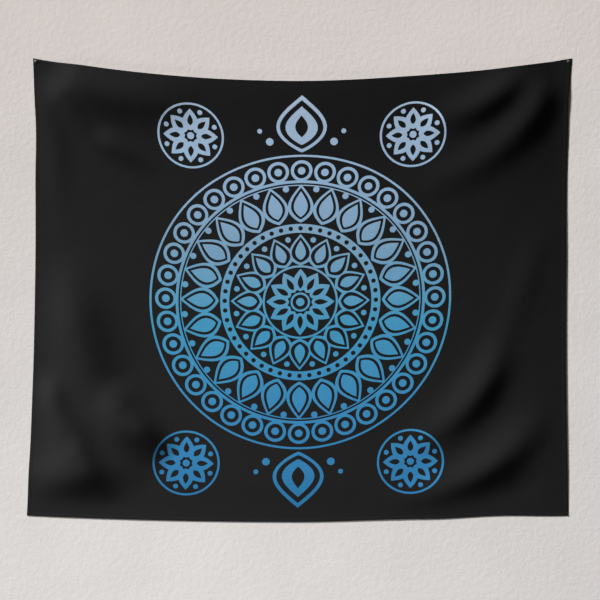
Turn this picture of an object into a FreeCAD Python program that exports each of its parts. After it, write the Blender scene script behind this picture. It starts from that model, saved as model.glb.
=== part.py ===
import FreeCAD, Part
import math
import os
import Sketcher

# Wall tapestry: a printed polyester cloth that hangs on a wall from two thumb tacks.
# Millimetres. The origin is midway between the two tack holes, on the wall's surface.
# +X runs along the hang line, +Y goes into the wall and +Z is up, so the print faces -Y.

V = FreeCAD.Vector

SIZES = [
    # the cut cloth
    ("cloth_width", 1524.0, "finished width of the cloth laid flat"),
    ("cloth_height", 1295.0, "finished height of the cloth laid flat"),
    ("cloth_thickness", 0.5, "woven polyester"),
    ("hem_width", 14.0, "edge turned twice to the back"),
    ("hem_layers", 3.0, "layers of cloth in a hem"),
    # how it hangs
    ("top_slack", 8.0, "how much nearer the top corners hang than the cloth is wide"),
    ("bottom_slack", 4.0, "the same, taken up by the folds at the bottom"),
    ("side_slack", 8.5, "height that the bowed sides take up"),
    ("bottom_sag", 18.0, "middle of the bottom hem below its corners"),
    ("bottom_shift", 14.5, "the whole lower edge hangs this far to the left"),
    ("left_bow", 15.0, "left side drawn in at half height"),
    ("right_bow", 11.5, "right side drawn in at half height"),
    ("top_lean", 7.5, "cloth just below the tacks stands off the wall"),
    ("foot_stand_off", 7.0, "bottom hem stands off the wall"),
    ("top_lip", 16.0, "how much further the sagging middle of the top hem leans out"),
    ("top_lip_reach", 140.0, "how far down the cloth that lean is felt"),
    ("edge_reach", 70.0, "how far in from each side the cloth still hugs the wall"),
    ("wall_gap", 0.5, "pinned corners stand off the wall"),
    # the folds
    ("fold_height", 20.0, "how far a full fold rises from the cloth around it"),
    ("fold_spread", 50.0, "distance from its crest to its flank"),
    ("flat_round_tack", 26.0, "cloth pressed flat this far round each tack"),
    # the tacks
    ("tack_inset", 8.0, "tack hole in from the side edge"),
    ("tack_drop", 8.5, "tack hole down from the top edge"),
    ("cap_diameter", 9.5, "enamelled steel cap"),
    ("cap_height", 2.4, "crown of the dome over the underside"),
    ("cap_rim", 0.7, "straight edge below the dome"),
    ("cap_seat", 0.1, "underside of the cap off the cloth"),
    ("pin_diameter", 1.1, "steel pin in the wall"),
    ("pin_reach", 8.0, "straight pin in the wall"),
    ("pin_point", 3.0, "ground point beyond it"),
    ("collar_diameter", 1.7, "thicker root of the pin, through the cloth"),
    ("pin_head_diameter", 4.0, "flat head held inside the cap"),
    ("pin_head_height", 0.6, "flat head held inside the cap"),
    ("pin_head_cover", 0.6, "metal between the head and the underside"),
    ("head_fit", 0.02, "head and collar clear of the cap's metal"),
    ("hole_clearance", 0.2, "cloth clear of the collar all round"),
]

# Fold crests in millimetres as (in from the tack, down from the tack): start, bend and end.
# The last two numbers are shares of the full fold's height and spread. A negative height is a dip.
LEFT_FOLDS = [
    ((-70, -30), (265, 185), (515, 70), 1.2, 1.28),
    ((-10, -50), (65, 180), (320, 310), 0.675, 0.56),
    ((150, 195), (260, 255), (355, 330), 0.525, 0.64),
    ((-60, -20), (65, 170), (60, 505), 0.9, 0.8),
    ((40, 530), (155, 845), (220, 1140), 1.5, 1.6),
    ((55, 840), (-10, 1010), (190, 1080), 1.1, 0.8),
    ((-5, 840), (185, 1255), (190, 1270), 1.15, 1.4),
    ((215, 880), (220, 1005), (310, 1210), 0.825, 1.12),
    ((165, 935), (320, 1075), (390, 1120), 1.02, 1.2),
    ((-110, 1165), (45, 1205), (355, 1125), 1.5, 1.36),
    ((85, 1055), (155, 1100), (195, 1225), 0.375, 0.6),
    ((250, 985), (335, 1055), (360, 1125), 0.55, 0.68),
    ((0, 905), (55, 955), (85, 1015), 0.35, 0.56),
]
RIGHT_FOLDS = [
    ((85, -10), (260, 185), (440, 165), 1.2, 0.92),
    ((-15, -125), (65, 295), (530, 385), 1.2, 1),
    ((-40, 15), (-15, 425), (245, 530), -0.225, 1.36),
    ((65, 445), (135, 705), (305, 1000), 0.25, 0.8),
    ((155, 725), (275, 1065), (495, 1075), 1.2, 0.96),
    ((20, 935), (290, 1300), (725, 1300), 1.2, 1),
    ((30, 1150), (165, 1225), (370, 1365), -0.225, 0.72),
]

# A fold rises over this share of its crest and dies away over the rest
RISE_SHARE = 0.35
# Part of the stand-off that is left at the side edges
EDGE_SHARE = 0.35
# The stand-off grows a little faster high up than low down
GROWTH = 0.8
# The cloth comes free of a tack over this many times the flat round it
RELEASE_RATIO = 4

# How finely the cloth is followed, and how much closer the lines lie near its edges
ACROSS_RUNS = 28
DOWN_RUNS = 24
CROWDING_SHARE = 0.55
CREST_RUNS = 12
STRAIGHT_WITHIN = 0.002

# The run of the cap's profile that is drawn as an arc
CAP_DOME_INDEX = 2

doc = FreeCAD.newDocument("wall_tapestry")


def make_sheet():
    sheet = doc.addObject("Spreadsheet::Sheet", "Sizes")
    for row, (alias, value, note) in enumerate(SIZES, start=1):
        sheet.set("A%d" % row, alias)
        sheet.set("B%d" % row, str(value))
        sheet.set("C%d" % row, note)
        sheet.setAlias("B%d" % row, alias)
    doc.recompute()
    return sheet


sizes = make_sheet()


def size(alias):
    return float(sizes.get(alias))


# Outline of the hung cloth, seen from the front

width = size("cloth_width")
height = size("cloth_height")
half_top = (width - size("top_slack")) / 2
half_bottom = (width - size("bottom_slack")) / 2
# a shallow arc that is top_slack longer than its chord
top_sag = math.sqrt(3 * 2 * half_top * size("top_slack") / 8)
top_z = size("tack_drop")
side_drop = height - size("side_slack")
tack_x = half_top - size("tack_inset")
hem_thickness = size("hem_layers") * size("cloth_thickness")

TOP_LEFT = V(-half_top, 0, top_z)
TOP_RIGHT = V(half_top, 0, top_z)
FOOT_LEFT = V(-half_bottom - size("bottom_shift"), 0, top_z - side_drop)
FOOT_RIGHT = V(half_bottom - size("bottom_shift"), 0, top_z - side_drop)


def bowed(start, end, bow):
    """A curve from start to end as a function of the share along it, drawn aside by bow."""
    arc = Part.Arc(start, (start + end) * 0.5 + bow, end)
    first, last = arc.FirstParameter, arc.LastParameter
    return lambda share: arc.value(first + (last - first) * share)


top_edge = bowed(TOP_LEFT, TOP_RIGHT, V(0, 0, -top_sag))
bottom_edge = bowed(FOOT_LEFT, FOOT_RIGHT, V(0, 0, -size("bottom_sag")))
left_edge = bowed(TOP_LEFT, FOOT_LEFT, V(size("left_bow"), 0, 0))
right_edge = bowed(TOP_RIGHT, FOOT_RIGHT, V(-size("right_bow"), 0, 0))


def hung_place(across, down):
    """Where a spot of the flat cloth, across from its left and down from its top, hangs."""
    s, t = across / width, down / height
    between = top_edge(s) * (1 - t) + bottom_edge(s) * t + left_edge(t) * (1 - s) + right_edge(t) * s
    corners = (TOP_LEFT * (1 - s) + TOP_RIGHT * s) * (1 - t) + (FOOT_LEFT * (1 - s) + FOOT_RIGHT * s) * t
    return between - corners


# Depth of the cloth: how far its front stands off the pinned corners

def crest_points(start, bend, end):
    """Points along a fold's crest, a parabola from start to end that heads for bend."""
    found = []
    for i in range(CREST_RUNS + 1):
        t = i / CREST_RUNS
        a, b, c = (1 - t) ** 2, 2 * t * (1 - t), t * t
        found.append((a * start[0] + b * bend[0] + c * end[0],
                      a * start[1] + b * bend[1] + c * end[1], t))
    return found


def make_folds():
    """Side, crest, height and spread of every fold."""
    made = []
    for side, folds in ((-1, LEFT_FOLDS), (1, RIGHT_FOLDS)):
        for start, bend, end, height_share, spread_share in folds:
            made.append((side, crest_points(start, bend, end),
                         height_share * size("fold_height"), spread_share * size("fold_spread")))
    return made


FOLDS = make_folds()


def eased(share):
    share = min(max(share, 0.0), 1.0)
    return share * share * (3 - 2 * share)


def nearest_on(crest, inward, down):
    """How far a spot lies from a crest, and the share along the crest of the nearest point."""
    best = (math.inf, 0.0)
    for a, b in zip(crest, crest[1:]):
        run = (b[0] - a[0], b[1] - a[1])
        along = (inward - a[0]) * run[0] + (down - a[1]) * run[1]
        share = min(max(along / (run[0] ** 2 + run[1] ** 2), 0.0), 1.0)
        apart = math.hypot(a[0] + run[0] * share - inward, a[1] + run[1] * share - down)
        best = min(best, (apart, a[2] + (b[2] - a[2]) * share))
    return best


def fold_lift(inward, down, crest, high, spread):
    """A soft ridge that rises over the first part of its crest and dies away over the rest."""
    apart, along = nearest_on(crest, inward, down)
    rise = eased(along / RISE_SHARE) * eased((1 - along) / (1 - RISE_SHARE))
    return high * rise * math.exp(-(apart / spread) ** 2)


def lean(x, z):
    """Stand-off without the folds: even down the cloth, with the middle of the top hem tipped out."""
    down = min(max(-z / side_drop, 0.0), 1.0)
    share = min(max((x + half_top) / (2 * half_top), 0.0), 1.0)
    middle = 4 * share * (1 - share)
    below_hem = max(top_z - top_sag * middle - z, 0.0)
    tipped = size("top_lip") * middle * math.exp(-(below_hem / size("top_lip_reach")) ** 2)
    return size("top_lean") + (size("foot_stand_off") - size("top_lean")) * down ** GROWTH + tipped


def lift(across, x, z):
    """Stand-off with the folds, drawn in along the sides and pressed flat at the tacks."""
    stand = lean(x, z)
    for side, crest, high, spread in FOLDS:
        if side * x > 0:
            stand += fold_lift(tack_x - side * x, -z, crest, high, spread)
    from_side = min(across, width - across)
    stand *= 1 - (1 - EDGE_SHARE) * math.exp(-(from_side / size("edge_reach")) ** 2)
    from_tack = math.hypot(tack_x - abs(x), z)
    flat = size("flat_round_tack")
    return stand * eased((from_tack - flat) / (RELEASE_RATIO * flat))


def front(across, down):
    """Point on the front of the hung cloth."""
    spot = hung_place(across, down)
    stand = size("wall_gap") + hem_thickness + lift(across, spot.x, spot.z)
    return V(spot.x, -stand, spot.z)


# Skins: upright lines of arcs down the cloth, lofted sideways

def crowded(length, runs):
    """Distances across the cloth: its two edges, the hem lines, and lines between them."""
    hem = size("hem_width")
    inner = length - 2 * hem
    found = [0.0]
    for i in range(runs + 1):
        q = i / runs
        found.append(hem + inner * (q - CROWDING_SHARE * math.sin(2 * math.pi * q) / (2 * math.pi)))
    return found + [length]


ACROSS = crowded(width, ACROSS_RUNS)
DOWN = crowded(height, DOWN_RUNS)


def bend(start, through, end):
    """An arc through three points, or a straight run where they lie in line."""
    if through.distanceToLine(start, end - start) < STRAIGHT_WITHIN:
        return Part.makeLine(start, end)
    return Part.Arc(start, through, end).toShape()


def upright_line(across, downs):
    """Line down the front of the cloth, an arc from each level to the next."""
    edges = []
    for above, below in zip(downs, downs[1:]):
        edges.append(bend(front(across, above), front(across, (above + below) / 2),
                          front(across, below)))
    return Part.Wire(edges)


def sheet_solid(acrosses, downs, thickness):
    """Part of the hung cloth between the given lines: front skin, back skin and its edges."""
    skin = Part.makeLoft([upright_line(across, downs) for across in acrosses], False, True)
    back = V(0, thickness, 0)
    rear = skin.translated(back)
    once = {}
    for face in skin.Faces:
        for edge in face.Edges:
            once.setdefault(edge.hashCode(), []).append(edge)
    rims = [found[0].extrude(back) for found in once.values() if len(found) == 1]
    shell = Part.makeShell(skin.Faces + rear.Faces + rims)
    shell.sewShape()
    solid = Part.makeSolid(shell)
    if solid.Volume < 0:
        solid.reverse()
    return solid


def cloth_piece(label, acrosses, downs, thickness):
    piece = doc.addObject("Part::Feature", label)
    piece.Label = label
    piece.Shape = sheet_solid(acrosses, downs, thickness)
    return piece


# Sizes that are bound to the sheet

class Bound:
    """A length together with the sheet expression that gives it."""

    def __init__(self, value, text):
        self.value = value
        self.text = text

    def __add__(self, other):
        return Bound(self.value + other.value, "(%s + %s)" % (self.text, other.text))

    def __sub__(self, other):
        return Bound(self.value - other.value, "(%s - %s)" % (self.text, other.text))

    def __mul__(self, other):
        return Bound(self.value * other.value, "(%s * %s)" % (self.text, other.text))

    def half(self):
        return Bound(self.value / 2, "(%s / 2)" % self.text)

    def negative(self):
        return Bound(-self.value, "(-%s)" % self.text)


def ref(alias):
    return Bound(size(alias), "Sizes." + alias)


AXIS = Bound(0.0, "0")
hem_depth = ref("hem_layers") * ref("cloth_thickness")
seat_depth = ref("wall_gap") + hem_depth + ref("cap_seat")
hole_x = (ref("cloth_width") - ref("top_slack")).half() - ref("tack_inset")
collar_radius = ref("collar_diameter").half()
head_radius = ref("pin_head_diameter").half()
head_floor = ref("pin_head_cover") + ref("head_fit")
cap_radius = ref("cap_diameter").half()


def place(item, sign, depth, turn):
    """Set an item on a tack's axis, depth in front of the wall, and turned about the axis given."""
    x = hole_x if sign > 0 else hole_x.negative()
    item.Placement = FreeCAD.Placement(V(x.value, -depth.value, 0), turn)
    item.setExpression("Placement.Base.x", x.text)
    item.setExpression("Placement.Base.y", depth.negative().text)


# Holes for the two tacks

def tack_hole(side, sign):
    hole = doc.addObject("Part::Cylinder", side + "_tack_hole")
    radius = collar_radius + ref("hole_clearance")
    hole.setExpression("Radius", radius.text)
    hole.setExpression("Height", (seat_depth + hem_depth).text)
    place(hole, sign, seat_depth + hem_depth, FreeCAD.Rotation(V(1, 0, 0), -90))
    return hole


def pierced(label, piece):
    """The top hem with both tack holes through it."""
    holes = doc.addObject("Part::MultiFuse", "tack_holes")
    holes.Shapes = [tack_hole("left", -1), tack_hole("right", 1)]
    cut = doc.addObject("Part::Cut", label)
    cut.Label = label
    cut.Base = piece
    cut.Tool = holes
    return cut


# Tacks: each piece is turned about its own axis, the upright axis of its sketch

def cap_profile():
    """Half of the cap, out from the axis and along it from the underside to the crown."""
    cavity_top = head_floor + ref("pin_head_height") + ref("head_fit")
    bore = collar_radius + ref("head_fit")
    pocket = head_radius + ref("head_fit")
    return [(bore, AXIS), (cap_radius, AXIS), (cap_radius, ref("cap_rim")),
            (AXIS, ref("cap_height")), (AXIS, cavity_top), (pocket, cavity_top),
            (pocket, ref("pin_head_cover")), (bore, ref("pin_head_cover"))]


def pin_profile():
    """Half of the pin, out from the axis and along it from its flat head to its point."""
    pin_radius = ref("pin_diameter").half()
    collar_start = ref("pin_head_height")
    wall_face = collar_start + head_floor + seat_depth
    point_start = wall_face + ref("pin_reach")
    return [(AXIS, AXIS), (head_radius, AXIS), (head_radius, collar_start),
            (collar_radius, collar_start), (collar_radius, wall_face),
            (pin_radius, wall_face), (pin_radius, point_start),
            (AXIS, point_start + ref("pin_point"))]


def dome_arc(rim, crown):
    """Arc from the rim up to the crown, centred on the axis."""
    rise = crown.y - rim.y
    radius = (rim.x ** 2 + rise ** 2) / (2 * rise)
    centre = V(0, crown.y - radius, 0)
    lean = math.atan2(rim.y - centre.y, rim.x)
    return Part.ArcOfCircle(Part.Circle(centre, V(0, 0, 1), radius), lean, math.pi / 2)


def constrain(sketch, run, kind, length, axis_line):
    """Hold the start of a run at a bound distance from the origin, or on an axis."""
    if length is AXIS:
        sketch.addConstraint(Sketcher.Constraint("PointOnObject", run, 1, axis_line))
        return
    number = sketch.addConstraint(Sketcher.Constraint(kind, -1, 1, run, 1, length.value))
    sketch.setExpression("Constraints[%d]" % number, length.text)


def profile_sketch(body, name, corners, dome):
    """A closed half profile, with the run numbered dome drawn as an arc."""
    sketch = body.newObject("Sketcher::SketchObject", name)
    plane = next(f for f in body.Origin.OriginFeatures if f.Role == "XY_Plane")
    sketch.AttachmentSupport = (plane, [""])
    sketch.MapMode = "FlatFace"
    spots = [V(out.value, along.value, 0) for out, along in corners]
    for run, (start, end) in enumerate(zip(spots, spots[1:] + spots[:1])):
        sketch.addGeometry(dome_arc(start, end) if run == dome else Part.LineSegment(start, end))
    for run in range(len(corners)):
        following = (run + 1) % len(corners)
        sketch.addConstraint(Sketcher.Constraint("Coincident", run, 2, following, 1))
    if dome is not None:
        sketch.addConstraint(Sketcher.Constraint("PointOnObject", dome, 3, -2))
    for run, (out, along) in enumerate(corners):
        constrain(sketch, run, "DistanceX", out, -2)
        constrain(sketch, run, "DistanceY", along, -1)
    return sketch


def turned(label, corners, dome=None):
    body = doc.addObject("PartDesign::Body", label)
    body.Label = label
    sketch = profile_sketch(body, label + "_profile", corners, dome)
    revolution = body.newObject("PartDesign::Revolution", label + "_revolution")
    revolution.Profile = sketch
    revolution.ReferenceAxis = (sketch, ["V_Axis"])
    revolution.Angle = 360
    body.Tip = revolution
    return body


def add_tack(side, sign):
    cap = turned(side + "_tack_cap", cap_profile(), CAP_DOME_INDEX)
    place(cap, sign, seat_depth, FreeCAD.Rotation(V(0, 0, 1), 180))
    pin = turned(side + "_tack_pin", pin_profile())
    place(pin, sign, seat_depth + head_floor + ref("pin_head_height"), FreeCAD.Rotation())
    return [cap, pin]


# The whole tapestry

def add_cloth():
    """The single cloth inside the hems, and the hems as three layers of the same cloth."""
    panel = cloth_piece("cloth_panel", ACROSS[1:-1], DOWN[1:-1], size("cloth_thickness"))
    top = pierced("top_hem", cloth_piece("top_hem_unpierced", ACROSS, DOWN[:2], hem_thickness))
    bottom = cloth_piece("bottom_hem", ACROSS, DOWN[-2:], hem_thickness)
    left = cloth_piece("left_hem", ACROSS[:2], DOWN[1:-1], hem_thickness)
    right = cloth_piece("right_hem", ACROSS[-2:], DOWN[1:-1], hem_thickness)
    return [panel, top, bottom, left, right]


def check(item):
    if item.State and ("Invalid" in item.State or "Error" in item.State):
        raise RuntimeError("%s did not build: %s" % (item.Name, item.State))


def export(pieces):
    os.makedirs("parts", exist_ok=True)
    for piece in pieces:
        shape = piece.Shape
        if shape.isNull() or not shape.isValid() or len(shape.Solids) != 1:
            raise RuntimeError("%s is not one valid solid" % piece.Label)
        shape.exportStep("parts/%s.step" % piece.Label)
        print("%-18s %9.1f mm3" % (piece.Label, shape.Volume))


pieces = add_cloth() + add_tack("left", -1) + add_tack("right", 1)
doc.recompute()
for item in doc.Objects:
    check(item)
export(pieces)
print("top sag %.1f mm, tacks %.1f mm apart" % (top_sag, 2 * tack_x))
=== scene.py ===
import math

import bmesh
import bpy
import numpy as np
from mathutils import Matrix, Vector


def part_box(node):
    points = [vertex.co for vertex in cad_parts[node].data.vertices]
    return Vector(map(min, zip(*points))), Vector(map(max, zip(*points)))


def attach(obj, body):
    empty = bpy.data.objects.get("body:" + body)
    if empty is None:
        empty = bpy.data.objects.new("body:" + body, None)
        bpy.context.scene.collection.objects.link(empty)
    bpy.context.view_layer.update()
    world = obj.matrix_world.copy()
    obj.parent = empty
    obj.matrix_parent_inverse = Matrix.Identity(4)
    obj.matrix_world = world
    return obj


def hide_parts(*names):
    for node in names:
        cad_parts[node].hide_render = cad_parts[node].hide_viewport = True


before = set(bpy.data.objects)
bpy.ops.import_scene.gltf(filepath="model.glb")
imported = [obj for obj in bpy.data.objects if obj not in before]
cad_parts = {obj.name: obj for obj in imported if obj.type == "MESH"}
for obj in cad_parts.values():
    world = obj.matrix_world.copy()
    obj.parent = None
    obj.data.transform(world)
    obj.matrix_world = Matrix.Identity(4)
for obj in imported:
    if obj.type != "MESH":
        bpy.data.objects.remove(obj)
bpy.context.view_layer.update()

# A printed polyester tapestry, hung on a wall from two thumb tacks.
# Lengths here are millimetres until they reach a mesh. The wall is the plane y = 0,
# the origin lies midway between the tack holes and the print faces -Y.

MM = 0.001

# The cut cloth
WIDTH = 1524.0
HEIGHT = 1295.0
THICKNESS = 0.5
HEM = 14.0
HEM_THICKNESS = 3 * THICKNESS

# The stitches run this far in from the edge. There the front dips, over a short way to either side,
# and the back of the hem is pressed in to this far behind the front.
STITCH_LINE = 11.5
STITCH_DIP = 0.3
STITCH_DIP_SPREAD = 1.6
STITCH_SINK = 1.22

# How it hangs: x and z of its corners, and how far its edges leave the straight lines between them.
# The solids hang so too, but for a few millimetres at the right edge and the lower corners, and for
# the foot, which lies closer to the wall here because the photograph shows no shadow under it.
TOP_LEFT = (-758.0, 8.5)
TOP_RIGHT = (758.0, 8.5)
FOOT_LEFT = (-775.5, -1278.0)
FOOT_RIGHT = (748.0, -1278.0)
TOP_SAG = 67.4
BOTTOM_SAG = 18.0
LEFT_BOW = 15.0
RIGHT_BOW = 13.0

# Small departures from those plain curves: middle and half width as shares of the edge, and rise
TOP_RIPPLES = [(0.70, 0.22, 3.6)]
BOTTOM_RIPPLES = [(0.875, 0.13, 7.5), (0.70, 0.20, 5.0)]
LEFT_RIPPLES = [(0.15, 0.13, 4.2)]
RIGHT_RIPPLES = [(0.17, 0.14, -2.6), (0.09, 0.09, -4.0), (0.31, 0.14, -2.8)]

# How far it stands off the wall: at its corners, at its foot, and where the loose top edge leans out
WALL_GAP = 0.5
TOP_LEAN = 7.5
FOOT_STAND_OFF = 7.0
LEAN_CURVE = 0.8
TOP_LIP = 16.0
TOP_LIP_REACH = 140.0

# It lies flat this far round each tack, and is free of it this much further out
FLAT_ROUND_TACK = 26.0
FLAT_FADE = 104.0

# Share of its stand-off that a side edge and the foot keep, and how far in from them that reaches
EDGE_SHARE = 0.35
EDGE_REACH = 70.0
FOOT_SHARE = 0.06
FOOT_REACH = 90.0

# A fold rises over this share of its crest, and the crest is followed in this many straight runs
RISE = 0.35
CREST_RUNS = 12

# Folds: side, crest as (in from the tack, down from it) at its start, bend and end, height, spread.
# Each crest lies between the lit flank and the shaded flank that the photograph shows.
FOLDS = [
    (-1, (-70, -30), (265, 185), (515, 70), 24.0, 64),
    (-1, (-10, -50), (65, 180), (320, 310), 13.5, 28),
    (-1, (150, 195), (260, 255), (355, 330), 10.5, 32),
    (-1, (-60, -20), (65, 170), (60, 505), 18.0, 40),
    (-1, (40, 530), (155, 845), (220, 1140), 30.0, 80),
    (-1, (55, 840), (-10, 1010), (190, 1080), 22.0, 40),
    (-1, (-5, 840), (185, 1255), (190, 1270), 23.0, 70),
    (-1, (215, 880), (220, 1005), (310, 1210), 16.5, 56),
    (-1, (165, 935), (320, 1075), (390, 1120), 20.5, 60),
    (-1, (-110, 1165), (45, 1205), (355, 1125), 30.0, 68),
    (-1, (85, 1055), (155, 1100), (195, 1225), 7.5, 30),
    (-1, (250, 985), (335, 1055), (360, 1125), 11.0, 34),
    (-1, (0, 905), (55, 955), (85, 1015), 7.0, 28),
    (1, (85, -10), (260, 185), (440, 165), 24.0, 46),
    (1, (-15, -125), (65, 295), (530, 385), 24.0, 50),
    (1, (-40, 15), (-15, 425), (245, 530), -4.5, 68),
    (1, (65, 445), (135, 705), (305, 1000), 5.0, 40),
    (1, (155, 725), (275, 1065), (495, 1075), 24.0, 48),
    (1, (20, 935), (290, 1300), (725, 1300), 24.0, 50),
    (1, (30, 1150), (165, 1225), (370, 1365), -4.5, 36),
]

# How far each tack stands from the middle
cap_low, cap_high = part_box("right_tack_cap")
TACK_X = (cap_low[0] + cap_high[0]) / 2 / MM


# Where the cloth hangs

def eased(share):
    share = np.clip(share, 0.0, 1.0)
    return share * share * (3 - 2 * share)


def ripples(share, bumps):
    total = np.zeros_like(share)
    for middle, half, rise in bumps:
        total += rise * eased(1 - np.abs(share - middle) / half)
    return total


def between(start, end, share, axis):
    return start[axis] * (1 - share) + end[axis] * share


def arch(share):
    """Nought at both ends and one in the middle."""
    return 4 * share * (1 - share)


def hung_place(across, down):
    """x and z of the spots of the flat cloth that lie across from its left and down from its top."""
    s, t = across / WIDTH, down / HEIGHT
    x = (between(TOP_LEFT, TOP_RIGHT, s, 0) * (1 - t) + between(FOOT_LEFT, FOOT_RIGHT, s, 0) * t
         + (1 - s) * (LEFT_BOW * arch(t) + ripples(t, LEFT_RIPPLES))
         - s * (RIGHT_BOW * arch(t) - ripples(t, RIGHT_RIPPLES)))
    z = (between(TOP_LEFT, TOP_RIGHT, s, 1) * (1 - t) + between(FOOT_LEFT, FOOT_RIGHT, s, 1) * t
         - (1 - t) * (TOP_SAG * arch(s) - ripples(s, TOP_RIPPLES))
         - t * (BOTTOM_SAG * arch(s) - ripples(s, BOTTOM_RIPPLES)))
    return x, z


def crest_line(start, bend, end):
    t = np.linspace(0, 1, CREST_RUNS + 1)[:, None]
    return (1 - t) ** 2 * np.array(start) + 2 * t * (1 - t) * np.array(bend) + t * t * np.array(end)


def fold_lift(inward, down, crest, high, spread):
    """A soft ridge that rises over the first part of its crest and dies away over the rest."""
    nearest = np.full_like(inward, np.inf)
    along = np.zeros_like(inward)
    for i, (a, b) in enumerate(zip(crest, crest[1:])):
        run = b - a
        share = ((inward - a[0]) * run[0] + (down - a[1]) * run[1]) / (run @ run)
        share = np.clip(share, 0, 1)
        apart = np.hypot(a[0] + run[0] * share - inward, a[1] + run[1] * share - down)
        closer = apart < nearest
        nearest = np.where(closer, apart, nearest)
        along = np.where(closer, (i + share) / CREST_RUNS, along)
    return high * eased(along / RISE) * eased((1 - along) / (1 - RISE)) * np.exp(-(nearest / spread) ** 2)


def stand_off(x, z):
    """How far the front of the cloth stands off its pinned corners."""
    down = np.clip(-z / (TOP_LEFT[1] - FOOT_LEFT[1]), 0, 1)
    share = np.clip((x - TOP_LEFT[0]) / (TOP_RIGHT[0] - TOP_LEFT[0]), 0, 1)
    below_hem = np.maximum(TOP_LEFT[1] - TOP_SAG * arch(share) - z, 0)
    stand = (TOP_LEAN + (FOOT_STAND_OFF - TOP_LEAN) * down ** LEAN_CURVE
             + TOP_LIP * arch(share) * np.exp(-(below_hem / TOP_LIP_REACH) ** 2))
    for side, start, bend, end, high, spread in FOLDS:
        here = fold_lift(TACK_X - side * x, -z, crest_line(start, bend, end), high, spread)
        stand = stand + np.where(side * x > 0, here, 0)
    from_tack = np.hypot(TACK_X - np.abs(x), z)
    return stand * eased((from_tack - FLAT_ROUND_TACK) / FLAT_FADE)


def edge_share(across, down):
    """The sides and the foot hug the wall, so they take only part of the stand-off."""
    from_side = np.minimum(across, WIDTH - across)
    sides = 1 - (1 - EDGE_SHARE) * np.exp(-(from_side / EDGE_REACH) ** 2)
    foot = 1 - (1 - FOOT_SHARE) * np.exp(-((HEIGHT - down) / FOOT_REACH) ** 2)
    return sides * foot


def spots(across, down, behind=0.0):
    """Points of the hung cloth in metres, behind its front by that many millimetres."""
    across, down = np.broadcast_arrays(np.asarray(across, float), np.asarray(down, float))
    x, z = hung_place(across, down)
    y = behind - WALL_GAP - HEM_THICKNESS - stand_off(x, z) * edge_share(across, down)
    return np.stack([x, y, z], axis=-1) * MM


# Meshes

def new_piece(name, verts, faces, materials):
    """A smooth mesh that belongs to the cloth."""
    mesh = bpy.data.meshes.new(name)
    mesh.from_pydata([tuple(v) for v in verts], [], faces)
    mesh.update()
    for polygon in mesh.polygons:
        polygon.use_smooth = True
    piece = bpy.data.objects.new(name, mesh)
    bpy.context.scene.collection.objects.link(piece)
    for material in materials:
        mesh.materials.append(material)
    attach(piece, "cloth")
    return piece


# Lines of the panel's mesh over a hem, as distances in from the edge, its even pitch between the hems,
# and how far its rim stays in from the edge
HEM_LINES = [0.0, 1.5, 4.0, 7.5, 10.0, STITCH_LINE, 13.0, HEM + 1, 18.0]
PANEL_PITCH = 8.0
EDGE_INSET = 0.2


def crowded_lines(length):
    """Distances from one edge to the other: close together over the hems, evenly spaced between."""
    count = int(round((length - 2 * HEM_LINES[-1]) / PANEL_PITCH))
    middle = np.linspace(HEM_LINES[-1], length - HEM_LINES[-1], count + 1)
    lines = np.concatenate([HEM_LINES[:-1], middle, [length - d for d in reversed(HEM_LINES[:-1])]])
    return np.clip(lines, EDGE_INSET, length - EDGE_INSET)


def hem_pinch(across, down):
    """The front dips where the stitches pull the hem together."""
    inside = np.minimum(np.minimum(across, WIDTH - across), np.minimum(down, HEIGHT - down))
    return STITCH_DIP * np.exp(-((inside - STITCH_LINE) / STITCH_DIP_SPREAD) ** 2)


def add_cloth_panel(front_finish, back_finish):
    """The whole printed cloth in one layer, out to the folded edges."""
    grid_a, grid_d = np.meshgrid(crowded_lines(WIDTH), crowded_lines(HEIGHT))
    dip = hem_pinch(grid_a, grid_d)
    front = spots(grid_a, grid_d, dip).reshape(-1, 3)
    back = spots(grid_a, grid_d, dip + THICKNESS).reshape(-1, 3)
    rows, columns = grid_a.shape
    number = np.arange(rows * columns).reshape(rows, columns)
    quads = np.stack([number[:-1, :-1], number[1:, :-1], number[1:, 1:], number[:-1, 1:]], -1).reshape(-1, 4)
    rim = np.concatenate([number[0, :], number[1:, -1], number[-1, -2::-1], number[-2:0:-1, 0]])
    offset = rows * columns
    faces = [tuple(q) for q in quads.tolist()]
    faces += [tuple(offset + i for i in reversed(q)) for q in quads.tolist()]
    for a, b in zip(rim.tolist(), np.roll(rim, -1).tolist()):
        faces.append((a, b, b + offset, a + offset))
    piece = new_piece("cloth_panel_print", np.concatenate([front, back]), faces, [front_finish, back_finish])
    count = len(quads)
    slots = [0] * count + [1] * count + [0] * len(rim)
    piece.data.polygons.foreach_set("material_index", slots)
    add_flat_maps(piece, grid_a.ravel() / WIDTH, 1 - grid_d.ravel() / HEIGHT, offset)
    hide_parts("cloth_panel")
    return piece


# Share of the square baking map that the printed side takes, and where the plain side starts
BAKE_FRONT = 0.76
BAKE_BACK_FROM = 0.78


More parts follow.
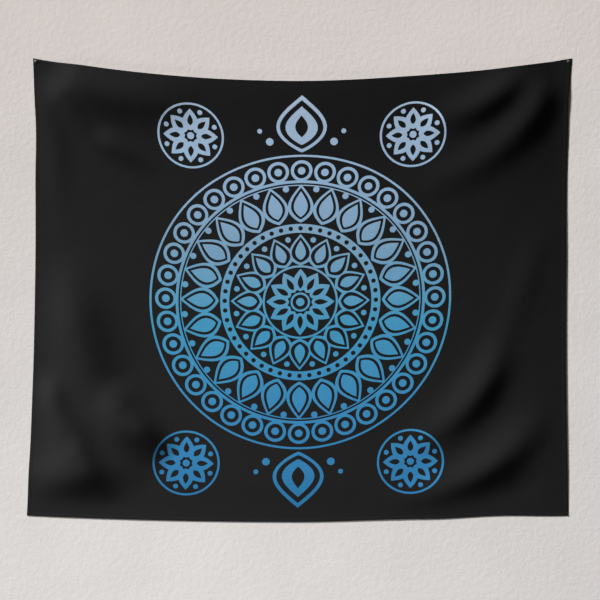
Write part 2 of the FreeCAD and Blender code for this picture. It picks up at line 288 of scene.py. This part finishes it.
def add_flat_maps(piece, u, v, offset):
    """One map where the cloth lies flat on both sides, and one with the two sides apart for baking."""
    mesh = piece.data
    corner = np.empty(len(mesh.loops), dtype=int)
    mesh.loops.foreach_get("vertex_index", corner)
    on_back = corner >= offset
    spot = np.where(on_back, corner - offset, corner)
    flat = mesh.uv_layers.new(name="flat_cut")
    flat.data.foreach_set("uv", np.stack([u[spot], v[spot]], -1).ravel())
    face_back = np.zeros(len(corner), dtype=bool)
    for polygon in mesh.polygons:
        if polygon.material_index == 1:
            face_back[polygon.loop_start:polygon.loop_start + polygon.loop_total] = True
    bake_v = np.where(face_back, BAKE_BACK_FROM + v[spot] * (1 - BAKE_BACK_FROM), v[spot] * BAKE_FRONT)
    bake = mesh.uv_layers.new(name="OFBake")
    bake.data.foreach_set("uv", np.stack([u[spot], bake_v], -1).ravel())
    mesh.uv_layers.active = flat


# Hem: the edge of the cloth turned twice to the back, as (in from the edge, behind the front)
HEM_BULGE = 0.45
HEM_SECTION = [
    (0.3, 0.0), (-0.15, 0.1), (-0.4, 0.4), (-HEM_BULGE, 0.8), (-0.3, 1.25), (0.2, 1.5),
    (4.0, 1.62), (8.0, 1.6), (10.4, 1.5), (STITCH_LINE, STITCH_SINK), (12.6, 1.45), (13.7, 1.5),
    (14.3, 1.3), (14.5, 1.0), (14.2, 0.75), (13.4, 0.62), (STITCH_LINE, 0.75), (8.0, 0.55), (0.3, 0.55),
]
HEM_PITCH = 7.0
# How far a side hem reaches in between the layers of the top and bottom ones
HEM_TUCK = 0.5


def hem_place(side, along, inward):
    """Flat place of a spot that is along one side and in from its edge."""
    return {
        "top": (along, inward),
        "bottom": (along, HEIGHT - inward),
        "left": (inward, along),
        "right": (WIDTH - inward, along),
    }[side]


def side_range(side):
    """Ends of a hem: the side hems are tucked in between the top and bottom ones."""
    if side in ("top", "bottom"):
        return -HEM_BULGE, WIDTH + HEM_BULGE
    return HEM - HEM_TUCK, HEIGHT - HEM + HEM_TUCK


def add_hem(side, finish):
    start, end = side_range(side)
    count = int((end - start) / HEM_PITCH)
    along = np.linspace(start, end, count + 1)
    rings = []
    for inward, behind in HEM_SECTION:
        across, down = hem_place(side, along, np.full_like(along, inward))
        rings.append(spots(across, down, behind))
    verts = np.stack(rings, axis=1).reshape(-1, 3)
    ring = len(HEM_SECTION)
    faces = []
    for i in range(count):
        for j in range(ring):
            k = (j + 1) % ring
            faces.append((i * ring + j, i * ring + k, (i + 1) * ring + k, (i + 1) * ring + j))
    faces.append(tuple(range(ring)))
    faces.append(tuple(count * ring + j for j in reversed(range(ring))))
    piece = new_piece(side + "_hem_fold", verts, faces, [finish])
    settle_normals(piece)
    add_hem_map(piece, side, along)
    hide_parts(side + "_hem")
    return piece


def add_hem_map(piece, side, along):
    """The hem's surface laid out flat, in shares of the cloth, so that its weave has the same scale."""
    mesh = piece.data
    ring = len(HEM_SECTION)
    walked = [0.0]
    for a, b in zip(HEM_SECTION, HEM_SECTION[1:]):
        walked.append(walked[-1] + math.dist(a, b))
    corner = np.empty(len(mesh.loops), dtype=int)
    mesh.loops.foreach_get("vertex_index", corner)
    run = along[corner // ring]
    across = np.array(walked)[corner % ring]
    pair = (run / WIDTH, across / HEIGHT) if side in ("top", "bottom") else (across / WIDTH, run / HEIGHT)
    flat = mesh.uv_layers.new(name="flat_cut")
    flat.data.foreach_set("uv", np.stack(pair, -1).ravel())


def settle_normals(piece):
    """Turns every face outward."""
    bm = bmesh.new()
    bm.from_mesh(piece.data)
    bmesh.ops.recalc_face_normals(bm, faces=bm.faces)
    bm.to_mesh(piece.data)
    bm.free()


# Stitches: a lockstitch shows as short dashes of thread on both sides of the hem
STITCH_PITCH = 3.4
STITCH_LENGTH = 2.7
THREAD = 0.4
THREAD_PROUD = 0.25 * THREAD
THREAD_DIVE = 0.8 * THREAD
THREAD_SIDES = 6
# One dash: share of its length, and share of the thread's width that it has there
STITCH_PROFILE = [(0.0, 0.35), (0.12, 0.8), (0.35, 1.0), (0.65, 1.0), (0.88, 0.8), (1.0, 0.35)]


def add_stitching(side, finish):
    """Both rows of dashes along one hem, each a stretch of thread that dips into the cloth at its ends."""
    length = WIDTH if side in ("top", "bottom") else HEIGHT
    count = int((length - 2 * STITCH_LINE) / STITCH_PITCH)
    first = (length - count * STITCH_PITCH) / 2
    shares = np.array([share for share, _ in STITCH_PROFILE])
    fatness = np.array([fat for _, fat in STITCH_PROFILE])
    along = (first + np.arange(count)[:, None] * STITCH_PITCH + shares * STITCH_LENGTH).ravel()
    radius = np.tile(THREAD / 2 * fatness, count)[:, None] * MM
    bury = np.tile((1 - fatness) * THREAD_DIVE, count)
    turns = 2 * math.pi * np.arange(THREAD_SIDES) / THREAD_SIDES
    rows = []
    for sink, out in ((STITCH_DIP - THREAD_PROUD, -1), (STITCH_SINK + THREAD_PROUD, 1)):
        middle = spots(*hem_place(side, along, np.full_like(along, STITCH_LINE)), sink - out * bury)
        beside = spots(*hem_place(side, along, np.full_like(along, STITCH_LINE + 1)), sink - out * bury)
        aside = (beside - middle) / np.linalg.norm(beside - middle, axis=1)[:, None]
        outward = np.array([0.0, 1.0, 0.0])
        ring = [middle + radius * (aside * math.cos(t) + outward * math.sin(t)) for t in turns]
        rows.append(np.stack(ring, axis=1).reshape(-1, 3))
    faces = []
    for dash in range(2 * count):
        add_dash_faces(faces, dash * len(STITCH_PROFILE) * THREAD_SIDES)
    piece = new_piece(side + "_hem_stitching", np.concatenate(rows), faces, [finish])
    settle_normals(piece)
    return piece


def add_dash_faces(faces, base):
    """The round side and both ends of the dash whose points start at this number."""
    last = len(STITCH_PROFILE) - 1
    for i in range(last):
        low = base + i * THREAD_SIDES
        for j in range(THREAD_SIDES):
            k = (j + 1) % THREAD_SIDES
            faces.append((low + j, low + k, low + THREAD_SIDES + k, low + THREAD_SIDES + j))
    faces.append(tuple(base + j for j in range(THREAD_SIDES)))
    faces.append(tuple(base + last * THREAD_SIDES + j for j in reversed(range(THREAD_SIDES))))


# Finishes

def linear(hex_colour):
    """sRGB hex to linear RGBA."""
    channels = [int(hex_colour[i:i + 2], 16) / 255 for i in (1, 3, 5)]
    return [c / 12.92 if c <= 0.04045 else ((c + 0.055) / 1.055) ** 2.4 for c in channels] + [1.0]


# Sockets of a colour mix, by number because it has several of each name: share, two colours, result
SHARE = 0
FIRST = 6
SECOND = 7
MIXED = 2


def new_finish(name):
    """A material with its node tree and a function that adds one node to it."""
    material = bpy.data.materials.new(name)
    material.use_nodes = True
    tree = material.node_tree
    tree.nodes.clear()

    def add(kind, *inputs, out=0, named=None, **settings):
        """Adds a node, sets and links its inputs in order or by name, and returns one output."""
        node = tree.nodes.new("ShaderNode" + kind)
        for key, value in settings.items():
            setattr(node, key, value)
        pairs = list(zip(node.inputs, inputs)) + [(node.inputs[k], v) for k, v in (named or {}).items()]
        for socket, value in pairs:
            if isinstance(value, bpy.types.NodeSocket):
                tree.links.new(value, socket)
            elif value is not None:
                socket.default_value = value
        return node.outputs[out] if len(node.outputs) else node

    return material, add


# Print: a generic round medallion with two pendants and four small rosettes, all in millimetres.
# Line is the width of an outline, tip under one sets a petal's widest place nearer the middle.

FLOWER = {"count": 12, "inner": 32, "outer": 98, "half_width": 23, "tip": 0.8}
FLOWER_SLITS = {"count": 12, "inner": 40, "outer": 80, "half_width": 8, "tip": 0.8}
LOTUS = {"count": 16, "inner": 108, "outer": 200, "half_width": 34, "tip": 0.75}
LOTUS_LINE = 8
LOTUS_CORES = {"count": 16, "inner": 124, "outer": 182, "half_width": 15, "tip": 0.75}
LOTUS_DOTS = {"count": 16, "centre": 186, "dot": 8, "phase": 0.5}
COLLAR = {"middle": 217, "half": 13}
COLLAR_HOLES = {"count": 48, "centre": 217, "dot": 6.5}
PETALS = {"count": 24, "inner": 234, "outer": 346, "half_width": 37, "tip": 0.8}
PETAL_LINE = 9
PETAL_CORES = {"count": 24, "inner": 250, "outer": 326, "half_width": 20, "tip": 0.8}
PETAL_DOTS = {"count": 24, "centre": 334, "dot": 9, "phase": 0.5}
SCALLOPS = {"count": 36, "centre": 386, "dot": 31}
SCALLOP_HOLLOWS = {"count": 36, "centre": 386, "dot": 22}
SCALLOP_BEADS = {"count": 36, "centre": 386, "dot": 11}
# Circles drawn as lines, as radius and half width
MEDALLION_CIRCLES = [(0, 12), (25, 3), (105, 3), (343.5, 1.6), (354, 4), (430, 3)]

# Pendants: leaves as start, end, half width and tip, and balls as x, y and radius
DROP = (440, 606, 72, 0.85)
DROP_HOLLOW = (450, 592, 62, 0.85)
DROP_CORE = (462, 574, 46, 0.85)
DROP_SLIT = (484, 548, 18, 0.9)
DROP_BALLS = [(92, 470, 11), (120, 500, 7)]

ROSETTE_MIDDLE = (318, 478)
ROSETTE_PETALS = {"count": 8, "inner": 16, "outer": 78, "half_width": 24, "tip": 0.8}
ROSETTE_SLITS = {"count": 8, "inner": 30, "outer": 62, "half_width": 8, "tip": 0.8}
ROSETTE_DOTS = {"count": 8, "centre": 74, "dot": 7, "phase": 0.5}
ROSETTE_CIRCLES = [(0, 10), (92, 3)]


def distance(add, x, y):
    return add("VectorMath", add("CombineXYZ", x, y), operation="LENGTH", out="Value")


def polar(add, x, y):
    return distance(add, x, y), add("Math", x, y, operation="ARCTAN2")


def moved(add, x, y, middle):
    """The same spot, counted from another middle."""
    return (add("Math", x, middle[0], operation="SUBTRACT"),
            add("Math", y, middle[1], operation="SUBTRACT"))


def place_in_step(add, turn, count, phase):
    """Where in its step of a ring a spot lies, from -0.5 to 0.5."""
    step = add("Math", turn, count / (2 * math.pi), operation="MULTIPLY")
    step = add("Math", step, 0.5 + phase, operation="ADD")
    return add("Math", add("Math", step, operation="FRACT"), 0.5, operation="SUBTRACT")


def leaf(add, aside, along, start, end, half_width, tip):
    """Mask of a pointed leaf that lies along a line."""
    share = add("MapRange", along, start, end, 0.0, 1.0)
    swell = add("Math", add("Math", share, tip, operation="POWER"), math.pi, operation="MULTIPLY")
    width = add("Math", add("Math", swell, operation="SINE"), half_width, operation="MULTIPLY")
    return add("Math", width, aside, operation="GREATER_THAN")


def petal_ring(add, radius, turn, count, inner, outer, half_width, tip, shrink=0.0):
    """Mask of pointed petals that stand round a middle."""
    aside = add("Math", place_in_step(add, turn, count, 0.0), radius, operation="MULTIPLY")
    aside = add("Math", aside, 2 * math.pi / count, operation="MULTIPLY")
    aside = add("Math", aside, operation="ABSOLUTE")
    return leaf(add, aside, radius, inner + shrink, outer - shrink, half_width - shrink, tip)


def dot_ring(add, radius, turn, count, centre, dot, phase=0.0):
    """Mask of round dots that stand round a middle."""
    aside = place_in_step(add, turn, count, phase)
    aside = add("Math", aside, 2 * math.pi / count * centre, operation="MULTIPLY")
    outward = add("Math", radius, centre, operation="SUBTRACT")
    return add("Math", distance(add, aside, outward), dot, operation="LESS_THAN")


def circle(add, radius, middle, half):
    """Mask of a circle drawn as a line of that half width."""
    return add("Math", radius, middle, half, operation="COMPARE")


def joined(add, masks):
    total = masks[0]
    for mask in masks[1:]:
        total = add("Math", total, mask, operation="MAXIMUM")
    return total


def without(add, mask, cut):
    return add("Math", mask, cut, operation="SUBTRACT", use_clamp=True)


def outlined_petals(add, radius, turn, petals, line):
    whole = petal_ring(add, radius, turn, **petals)
    return without(add, whole, petal_ring(add, radius, turn, shrink=line, **petals))


def medallion(add, x, y):
    """A flower, a lotus, a collar, petals and scallops round one middle."""
    r, turn = polar(add, x, y)
    flower = without(add, petal_ring(add, r, turn, **FLOWER), petal_ring(add, r, turn, **FLOWER_SLITS))
    collar = without(add, circle(add, r, **COLLAR), dot_ring(add, r, turn, **COLLAR_HOLES))
    scallops = without(add, dot_ring(add, r, turn, **SCALLOPS), dot_ring(add, r, turn, **SCALLOP_HOLLOWS))
    masks = [flower, collar, scallops]
    masks.append(outlined_petals(add, r, turn, LOTUS, LOTUS_LINE))
    masks.append(outlined_petals(add, r, turn, PETALS, PETAL_LINE))
    masks += [petal_ring(add, r, turn, **cores) for cores in (LOTUS_CORES, PETAL_CORES)]
    masks += [dot_ring(add, r, turn, **dots) for dots in (LOTUS_DOTS, PETAL_DOTS, SCALLOP_BEADS)]
    masks += [circle(add, r, middle, half) for middle, half in MEDALLION_CIRCLES]
    return joined(add, masks)


def pendants(add, x, y):
    """A pointed drop above the medallion and one below, drawn once on mirrored axes."""
    drop = without(add, leaf(add, x, y, *DROP), leaf(add, x, y, *DROP_HOLLOW))
    core = without(add, leaf(add, x, y, *DROP_CORE), leaf(add, x, y, *DROP_SLIT))
    masks = [drop, core]
    for ball_x, ball_y, radius in DROP_BALLS:
        away = distance(add, *moved(add, x, y, (ball_x, ball_y)))
        masks.append(circle(add, away, 0, radius))
    return joined(add, masks)


def rosettes(add, x, y):
    """Four small flowers, one in each corner of the print, drawn once on mirrored axes."""
    r, turn = polar(add, *moved(add, x, y, ROSETTE_MIDDLE))
    petals = petal_ring(add, r, turn, **ROSETTE_PETALS)
    slits = petal_ring(add, r, turn, **ROSETTE_SLITS)
    masks = [without(add, petals, slits), dot_ring(add, r, turn, **ROSETTE_DOTS)]
    masks += [circle(add, r, middle, half) for middle, half in ROSETTE_CIRCLES]
    return joined(add, masks)


def medallion_print(add, cut):
    """Mask of the whole print, worked out in millimetres on the flat cloth."""
    parts = add("SeparateXYZ", cut)
    sideways = add("MapRange", parts, 0.0, 1.0, -WIDTH / 2, WIDTH / 2, clamp=False)
    upright = add("MapRange", parts.node.outputs["Y"], 0.0, 1.0, -HEIGHT / 2, HEIGHT / 2, clamp=False)
    x, y = [add("Math", place, operation="ABSOLUTE") for place in (sideways, upright)]
    return joined(add, [medallion(add, sideways, upright), pendants(add, x, y), rosettes(add, x, y)])


# The ink's blues from the foot of the cloth to its top, as share of its height and colour
INK_STOPS = [
    (0.03, "#2a70a0"), (0.25, "#377eab"), (0.45, "#418cb0"),
    (0.52, "#5892b3"), (0.63, "#7497b1"), (0.74, "#83a2bf"), (0.97, "#a8bcd2"),
]


def ink_colour(add, cut):
    """The blue at each height of the cloth, lighter towards its top."""
    upright = add("SeparateXYZ", cut, out="Y")
    blue = add("ValToRGB", upright)
    ramp = blue.node.color_ramp
    while len(ramp.elements) < len(INK_STOPS):
        ramp.elements.new(0.5)
    for element, (place, colour) in zip(ramp.elements, INK_STOPS):
        element.position = place
        element.color = linear(colour)
    return blue


# Plain weave. Real threads lie 0.35 mm apart; drawn wider so that the weave shows close to
WEAVE_PITCH = 1.1
WEAVE_DEPTH = 0.25
WEAVE_STRENGTH = 0.35


def plain_weave(add, cut):
    """Height of crossed threads from 0 to 1, and the normal that it gives. A wave takes two threads."""
    turns = (2 * math.pi * WIDTH / WEAVE_PITCH / 2, 2 * math.pi * HEIGHT / WEAVE_PITCH / 2, 0)
    phase = add("VectorMath", cut, turns, operation="MULTIPLY")
    parts = add("SeparateXYZ", add("VectorMath", phase, operation="SINE"))
    product = add("Math", parts, parts.node.outputs["Y"], operation="MULTIPLY")
    height = add("MapRange", product, -1.0, 1.0, 0.0, 1.0)
    relief = add("Bump", named={"Strength": WEAVE_STRENGTH, "Distance": WEAVE_DEPTH * MM, "Height": height})
    return height, relief


# Soft unevenness of cloth that was folded in its packet: swells in a hundred millimetres, and depth
CRUMPLES = 1.4
CRUMPLE_DEPTH = 3.0


def crumpled(add, cut, relief):
    """Lays the soft unevenness over the normal of the weave."""
    hundreds = add("VectorMath", cut, (WIDTH / 100, HEIGHT / 100, 0), operation="MULTIPLY")
    swell = add("TexNoise", hundreds, named={"Scale": CRUMPLES, "Detail": 4.0, "Roughness": 0.5})
    return add("Bump", named={"Strength": 0.5, "Distance": CRUMPLE_DEPTH * MM, "Height": swell,
                              "Normal": relief})


# Painted shade: the black is painted a little lighter at the foot of the left side than at the top of the
# right side, where less light falls
PAINTED_SHADE_TOWARDS = (0.45, 0.55, 0.0)
PAINTED_SHADE_SPAN = (0.08, 0.85)
DYE_PAINTED_LIT = "#202020"
DYE_PAINTED_SHADED = "#141414"


def printed_polyester():
    """Black dyed and sublimation printed polyester: matt, with a faint bloom across the weave, and painted
    shade over its black and in the weave's hollows.
    """
    material, add = new_finish("printed_polyester")
    cut = add("UVMap", uv_map="flat_cut")
    weave, relief = plain_weave(add, cut)
    # Painted shade in the weave: its low places are painted darker and its crowns a little lighter
    weave_painted_shade = add("MapRange", weave, 0.0, 1.0, 0.86, 1.06)
    # Painted shade: a share that grows towards the top of the right side and darkens the black there
    painted_shade = add("VectorMath", cut, PAINTED_SHADE_TOWARDS, operation="DOT_PRODUCT", out="Value")
    painted_shade = add("MapRange", painted_shade, *PAINTED_SHADE_SPAN, 0.0, 1.0)
    dye = add("Mix", data_type="RGBA", out=MIXED,
              named={SHARE: painted_shade, FIRST: linear(DYE_PAINTED_LIT), SECOND: linear(DYE_PAINTED_SHADED)})
    dyed = add("Mix", data_type="RGBA", out=MIXED,
               named={SHARE: medallion_print(add, cut), FIRST: dye, SECOND: ink_colour(add, cut)})
    shaded = add("Mix", data_type="RGBA", blend_type="MULTIPLY", out=MIXED,
                 named={SHARE: 1.0, FIRST: dyed, SECOND: weave_painted_shade})
    shader = add("BsdfPrincipled", named={
        "Base Color": shaded, "Roughness": 0.85, "Specular IOR Level": 0.06,
        "Normal": crumpled(add, cut, relief), "Sheen Weight": 0.004, "Sheen Roughness": 0.4})
    add("OutputMaterial", shader)
    return material


def polyester_back():
    """The same cloth's plain side: off-white polyester, greyed by the black dye that shows through."""
    material, add = new_finish("unprinted_polyester")
    cut = add("UVMap", uv_map="flat_cut")
    weave, relief = plain_weave(add, cut)
    # Painted shade in the weave: its low places are painted darker and its crowns a little lighter
    weave_painted_shade = add("MapRange", weave, 0.0, 1.0, 0.9, 1.04)
    mask = medallion_print(add, cut)
    ghost = add("Mix", data_type="RGBA", out=MIXED,
                named={SHARE: mask, FIRST: linear("#8b8b8e"), SECOND: linear("#b3c0cc")})
    shaded = add("Mix", data_type="RGBA", blend_type="MULTIPLY", out=MIXED,
                 named={SHARE: 1.0, FIRST: ghost, SECOND: weave_painted_shade})
    shader = add("BsdfPrincipled", named={
        "Base Color": shaded, "Roughness": 0.85, "Specular IOR Level": 0.3,
        "Normal": relief, "Sheen Weight": 0.1, "Sheen Roughness": 0.4})
    add("OutputMaterial", shader)
    return material


def dyed_hem():
    """The dyed edge where it is turned to the back: matt black polyester that shows its weave, with painted
    shade in the weave's hollows.
    """
    material, add = new_finish("dyed_polyester_hem")
    weave, relief = plain_weave(add, add("UVMap", uv_map="flat_cut"))
    # Painted shade in the weave: its low places are painted darker, its crowns lighter
    colour = add("Mix", data_type="RGBA", out=MIXED,
                 named={SHARE: weave, FIRST: linear("#0f0f10"), SECOND: linear("#141415")})
    shader = add("BsdfPrincipled", named={
        "Base Color": colour, "Roughness": 0.85, "Specular IOR Level": 0.06,
        "Normal": relief, "Sheen Weight": 0.004, "Sheen Roughness": 0.4})
    add("OutputMaterial", shader)
    return material


# Pitch of the twist in the thread's fibres. One wave of the wave texture takes pi / 10 of its unit.
TWIST_PITCH = 0.1428


def spun_thread():
    """Black spun polyester sewing thread: a slight gloss broken by its twist, with a painted highlight in
    stripes along the twist.
    """
    material, add = new_finish("spun_polyester_thread")
    place = add("TexCoord", out="Object")
    waves = math.pi / 10 / (TWIST_PITCH * MM)
    twist = add("TexWave", place, named={"Scale": waves, "Distortion": 0.0}, out="Fac")
    # Painted highlight and shade: stripes along the twist are painted lighter on the plies and darker
    # between them
    colour = add("Mix", data_type="RGBA", out=MIXED,
                 named={SHARE: twist, FIRST: linear("#151516"), SECOND: linear("#2a2a2c")})
    shader = add("BsdfPrincipled", named={
        "Base Color": colour, "Roughness": 0.8, "Specular IOR Level": 0.15})
    add("OutputMaterial", shader)
    return material


# Enamel: width of its orange peel, of its worn patches, and depth of the peel
PEEL_WIDTH = 0.5
WORN_WIDTH = 2.5
PEEL_DEPTH = 0.02


def baked_enamel():
    """Dark grey enamel baked on pressed steel: half gloss, with a faint orange peel."""
    material, add = new_finish("baked_enamel_cap")
    place = add("TexCoord", out="Object")
    peel = add("TexNoise", place, named={"Scale": 1 / (PEEL_WIDTH * MM), "Detail": 2.0})
    worn = add("TexNoise", place, named={"Scale": 1 / (WORN_WIDTH * MM), "Detail": 4.0})
    colour = add("Mix", data_type="RGBA", out=MIXED,
                 named={SHARE: worn, FIRST: linear("#2b2c2e"), SECOND: linear("#383a3d")})
    rough = add("MapRange", worn, 0.3, 0.7, 0.4, 0.52)
    bump = add("Bump", named={"Strength": 0.2, "Distance": PEEL_DEPTH * MM, "Height": peel})
    shader = add("BsdfPrincipled", named={"Base Color": colour, "Roughness": rough, "Normal": bump})
    add("OutputMaterial", shader)
    return material


# Drawing lines of the steel wire: their width and their length
LINE_WIDTH = 0.08
LINE_LENGTH = 3


def drawn_steel():
    """Nickel-bright steel wire: fine lines drawn along its length."""
    material, add = new_finish("drawn_steel_pin")
    place = add("TexCoord", out="Object")
    in_lines = (1 / (LINE_WIDTH * MM), 1 / (LINE_LENGTH * MM), 1 / (LINE_WIDTH * MM))
    lines = add("VectorMath", place, in_lines, operation="MULTIPLY")
    grain = add("TexNoise", lines, named={"Scale": 1.0, "Detail": 3.0})
    rough = add("MapRange", grain, 0.3, 0.7, 0.22, 0.4)
    colour = add("Mix", data_type="RGBA", out=MIXED,
                 named={SHARE: grain, FIRST: linear("#b4b6b9"), SECOND: linear("#cfd0d2")})
    shader = add("BsdfPrincipled", named={"Base Color": colour, "Roughness": rough, "Metallic": 1.0})
    add("OutputMaterial", shader)
    return material


def finish_solid(node, material):
    """Gives a solid of the frame its finish."""
    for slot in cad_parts[node].material_slots:
        slot.material = material


# Stage: a plastered wall that is seen only from the front, and a plain floor that fades into the backdrop

WALL_HALF = 2200.0
WALL_TOP = 1300.0
FLOOR_Z = -2200.0
FLOOR_HALF = 9000.0
# How clear the floor is near the object, between which distances it fades, and its cloudy patches
FLOOR_CLEAR = 0.55
FLOOR_FADES = (3200.0, 8500.0)
FLOOR_CLOUD = 500.0
# Plaster: its cloudy patches, its widest grit and how far that stands out, and the heights in metres
# between which its colour shifts
WALL_CLOUD = 200.0
GRIT_WIDTH = 16
GRIT_DEPTH = 1.35
WALL_SHIFTS = (0.1, -1.0)


def stage_plane(name, corners, material):
    mesh = bpy.data.meshes.new(name)
    mesh.from_pydata([tuple(c * MM for c in corner) for corner in corners], [], [(0, 1, 2, 3)])
    mesh.materials.append(material)
    plane = bpy.data.objects.new(name, mesh)
    bpy.context.scene.collection.objects.link(plane)


def painted_plaster():
    """Pale emulsion on trowelled plaster: matt and gritty. Clear from behind, to show the cloth's back."""
    material, add = new_finish("painted_plaster")
    place = add("TexCoord", out="Object")
    cloud = add("TexNoise", place, named={"Scale": 1 / (WALL_CLOUD * MM), "Detail": 3.0})
    grit = add("TexNoise", place, named={"Scale": 1 / (GRIT_WIDTH * MM), "Detail": 5.0, "Roughness": 0.62})
    low = add("MapRange", add("SeparateXYZ", place, out="Z"), *WALL_SHIFTS, 0.0, 1.0)
    fade = add("Mix", data_type="RGBA", out=MIXED,
               named={SHARE: low, FIRST: linear("#d2cbc7"), SECOND: linear("#cfcbc9")})
    cloudy = add("MapRange", cloud, 0.3, 0.7, 0.97, 1.01)
    colour = add("VectorMath", fade, named={"Scale": cloudy}, operation="SCALE")
    bump = add("Bump", named={"Strength": 0.7, "Distance": GRIT_DEPTH * MM, "Height": grit})
    plaster = add("BsdfDiffuse", colour, 0.25, named={"Normal": bump})
    shadow = add("LightPath", out="Is Shadow Ray")
    behind = add("NewGeometry", out="Backfacing")
    hidden = add("Math", shadow, behind, operation="MAXIMUM")
    add("OutputMaterial", add("MixShader", hidden, plaster, add("BsdfTransparent")))
    return material


def floor_paint():
    """Plain pale paint. It is dark to all but the camera, so that it throws no light up into the folds."""
    material, add = new_finish("pale_floor")
    place = add("TexCoord", out="Object")
    cloud = add("TexNoise", place, named={"Scale": 1 / (FLOOR_CLOUD * MM), "Detail": 3.0})
    colour = add("Mix", data_type="RGBA", out=MIXED,
                 named={SHARE: cloud, FIRST: linear("#9f9d9a"), SECOND: linear("#a5a3a0")})
    seen = add("LightPath", out="Is Camera Ray")
    shown = add("Mix", data_type="RGBA", out=MIXED,
                named={SHARE: seen, FIRST: linear("#3c3c3c"), SECOND: colour})
    away = add("VectorMath", place, operation="LENGTH", out="Value")
    nearest, farthest = FLOOR_FADES
    gone = add("MapRange", away, nearest * MM, farthest * MM, FLOOR_CLEAR, 1.0,
               interpolation_type="SMOOTHSTEP")
    add("OutputMaterial", add("MixShader", gone, add("BsdfDiffuse", shown), add("BsdfTransparent")))
    return material


def add_stage():
    stage_plane("wall", [(-WALL_HALF, 0.0, FLOOR_Z), (WALL_HALF, 0.0, FLOOR_Z),
                         (WALL_HALF, 0.0, WALL_TOP), (-WALL_HALF, 0.0, WALL_TOP)], painted_plaster())
    stage_plane("floor", [(-FLOOR_HALF, -FLOOR_HALF, FLOOR_Z), (FLOOR_HALF, -FLOOR_HALF, FLOOR_Z),
                          (FLOOR_HALF, FLOOR_HALF, FLOOR_Z), (-FLOOR_HALF, FLOOR_HALF, FLOOR_Z)],
                floor_paint())


# Light and camera

# The key light stands far off at the upper left, as the photograph's shading shows: its distance in
# metres, its rise above level as it is seen from the front, and its angle off the wall
CLOTH_MIDDLE = (0.0, 0.0, -0.65)
KEY_AWAY = 40.0
KEY_UP = math.radians(43)
KEY_GRAZE = math.radians(22)
KEY_PLACE = (-KEY_AWAY * math.cos(KEY_GRAZE) * math.cos(KEY_UP),
             -KEY_AWAY * math.sin(KEY_GRAZE),
             CLOTH_MIDDLE[2] + KEY_AWAY * math.cos(KEY_GRAZE) * math.sin(KEY_UP))

# Each lamp: place, target and width of its disk in metres, and watts. The foot light fills the lower
# folds, and the rear light stands behind the wall and shows the cloth's back.
LAMPS = {
    "key_light": (KEY_PLACE, CLOTH_MIDDLE, 8.0, 41200),
    "foot_light": ((-0.5, -1.3, -1.75), (-0.1, 0.0, -1.1), 0.8, 5),
    "rear_light": ((4.0, 9.0, 3.5), CLOTH_MIDDLE, 4.0, 1150),
}
BACKDROP = "#f2f1ef"
# Share of the backdrop's brightness that falls on the object
SKY_SHARE = 0.03


def area_light(name, place, target, size, watts):
    lamp = bpy.data.lights.new(name, "AREA")
    lamp.shape = "DISK"
    lamp.size = size
    lamp.energy = watts
    holder = bpy.data.objects.new(name, lamp)
    holder.location = place
    holder.rotation_euler = (Vector(target) - Vector(place)).to_track_quat("-Z", "Y").to_euler()
    holder.visible_camera = False
    bpy.context.scene.collection.objects.link(holder)


def add_light():
    for name, lamp in LAMPS.items():
        area_light(name, *lamp)
    world = bpy.data.worlds.new("studio")
    bpy.context.scene.world = world
    world.use_nodes = True
    nodes, links = world.node_tree.nodes, world.node_tree.links
    backdrop = nodes["Background"]
    backdrop.inputs["Color"].default_value = linear(BACKDROP)
    path = nodes.new("ShaderNodeLightPath")
    strength = nodes.new("ShaderNodeMapRange")
    strength.inputs["To Min"].default_value = SKY_SHARE
    strength.inputs["To Max"].default_value = 1.0
    links.new(path.outputs["Is Camera Ray"], strength.inputs["Value"])
    links.new(strength.outputs[0], backdrop.inputs["Strength"])


# The photograph: its scale at the wall, its middle as x and z, and the distance it seems taken from
PIXEL = 2.817
PHOTO_PIXELS = 600
PHOTO_MIDDLE = (-6.7, -671.6)
CAMERA_DISTANCE = 3800.0
SENSOR = 36.0


def add_camera():
    data = bpy.data.cameras.new("camera")
    data.sensor_width = SENSOR
    data.lens = SENSOR * CAMERA_DISTANCE / (PHOTO_PIXELS * PIXEL)
    data.clip_start = 0.05
    data.clip_end = 60
    camera = bpy.data.objects.new("camera", data)
    camera.location = (PHOTO_MIDDLE[0] * MM, -CAMERA_DISTANCE * MM, PHOTO_MIDDLE[1] * MM)
    camera.rotation_euler = (math.pi / 2, 0, 0)
    bpy.context.scene.collection.objects.link(camera)
    bpy.context.scene.camera = camera


def add_cloth():
    hem_finish = dyed_hem()
    thread = spun_thread()
    panel = add_cloth_panel(printed_polyester(), polyester_back())
    sides = ("top", "bottom", "left", "right")
    hems = [add_hem(side, hem_finish) for side in sides]
    stitching = [add_stitching(side, thread) for side in sides]


def finish_tacks():
    enamel = baked_enamel()
    steel = drawn_steel()
    for side in ("left", "right"):
        finish_solid(side + "_tack_cap", enamel)
        finish_solid(side + "_tack_pin", steel)


add_cloth()
finish_tacks()
add_stage()
add_light()
add_camera()
bpy.context.scene.view_settings.view_transform = "Standard"
